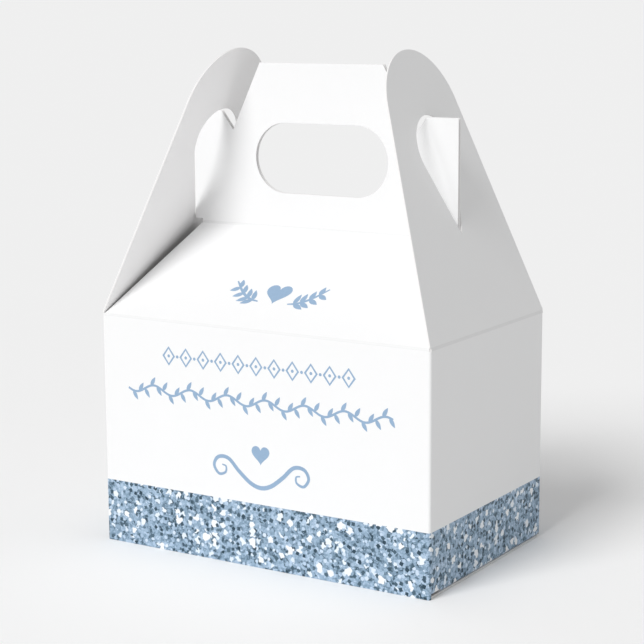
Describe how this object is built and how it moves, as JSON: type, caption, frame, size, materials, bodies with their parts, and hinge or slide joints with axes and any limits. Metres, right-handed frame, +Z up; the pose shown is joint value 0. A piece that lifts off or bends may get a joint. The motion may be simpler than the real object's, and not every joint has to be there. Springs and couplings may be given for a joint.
{
  "type": "gable gift box",
  "caption": "Folded paperboard gable box with roof panels, back-to-back carry handles with a hand hole, ear-locked round-topped end flaps and a tuck bottom.",
  "frame": {"origin": "on the floor, at the middle of the bottom of the box", "axes": "+X to the right along the box's long side, -Y out of the front panel, +Z up"},
  "size_m": [0.1016, 0.0636, 0.1343],
  "materials": {
    "white_board": "satin",
    "glitter_print": "satin",
    "blue_ink": "matte"
  },
  "bodies": {
    "walls": {"front_panel": "white_board", "rear_panel": "white_board", "left_end_panel": "white_board", "right_end_panel": "white_board", "glue_tab": "white_board"},
    "front_roof": {"front_roof": "white_board"},
    "front_handle": {"front_handle": "white_board"},
    "rear_roof": {"rear_roof": "white_board"},
    "rear_handle": {"rear_handle": "white_board"},
    "left_end_flap": {"left_end_flap": "white_board"},
    "right_end_flap": {"right_end_flap": "white_board"},
    "bottom_panel": {"bottom_panel": "white_board"},
    "bottom_tuck_flap": {"bottom_tuck_flap": "white_board"},
    "left_dust_flap": {"left_dust_flap": "white_board"},
    "right_dust_flap": {"right_dust_flap": "white_board"}
  },
  "joints": [
    {"name": "front_eave_crease", "type": "hinge", "parent": "walls", "child": "front_roof", "pos_m": [0, -0.03175, 0.0635], "axis": [1, 0, 0], "range_deg": [0, 54]},
    {"name": "front_handle_crease", "type": "hinge", "parent": "front_roof", "child": "front_handle", "pos_m": [0, -0.0006, 0.086], "axis": [-1, 0, 0], "range_deg": [0, 54]},
    {"name": "rear_eave_crease", "type": "hinge", "parent": "walls", "child": "rear_roof", "pos_m": [0, 0.03175, 0.0635], "axis": [-1, 0, 0], "range_deg": [0, 54]},
    {"name": "rear_handle_crease", "type": "hinge", "parent": "rear_roof", "child": "rear_handle", "pos_m": [0, 0.0006, 0.086], "axis": [1, 0, 0], "range_deg": [0, 54]},
    {"name": "left_flap_crease", "type": "hinge", "parent": "walls", "child": "left_end_flap", "pos_m": [-0.0508, 0, 0.0635], "axis": [0, -1, 0], "range_deg": [0, 162]},
    {"name": "right_flap_crease", "type": "hinge", "parent": "walls", "child": "right_end_flap", "pos_m": [0.0508, 0, 0.0635], "axis": [0, 1, 0], "range_deg": [0, 162]},
    {"name": "bottom_crease", "type": "hinge", "parent": "walls", "child": "bottom_panel", "pos_m": [0, 0.03175, 0], "axis": [1, 0, 0], "range_deg": [0, 110]},
    {"name": "tuck_crease", "type": "hinge", "parent": "bottom_panel", "child": "bottom_tuck_flap", "pos_m": [0, -0.031, 0], "axis": [1, 0, 0], "range_deg": [0, 44]},
    {"name": "left_dust_crease", "type": "hinge", "parent": "walls", "child": "left_dust_flap", "pos_m": [-0.0508, 0, 0.00075], "axis": [0, 1, 0], "range_deg": [0, 93.5]},
    {"name": "right_dust_crease", "type": "hinge", "parent": "walls", "child": "right_dust_flap", "pos_m": [0.0508, 0, 0.00075], "axis": [0, -1, 0], "range_deg": [0, 93.5]}
  ],
  "couplings": [
    {"joint": "front_handle_crease", "follows": "front_eave_crease", "ratio": 1},
    {"joint": "rear_eave_crease", "follows": "front_eave_crease", "ratio": 1},
    {"joint": "rear_handle_crease", "follows": "front_eave_crease", "ratio": 1},
    {"joint": "left_flap_crease", "follows": "front_eave_crease", "ratio": 3},
    {"joint": "right_flap_crease", "follows": "front_eave_crease", "ratio": 3},
    {"joint": "tuck_crease", "follows": "bottom_crease", "ratio": 0.4},
    {"joint": "left_dust_crease", "follows": "bottom_crease", "ratio": 0.85},
    {"joint": "right_dust_crease", "follows": "bottom_crease", "ratio": 0.85}
  ]
}
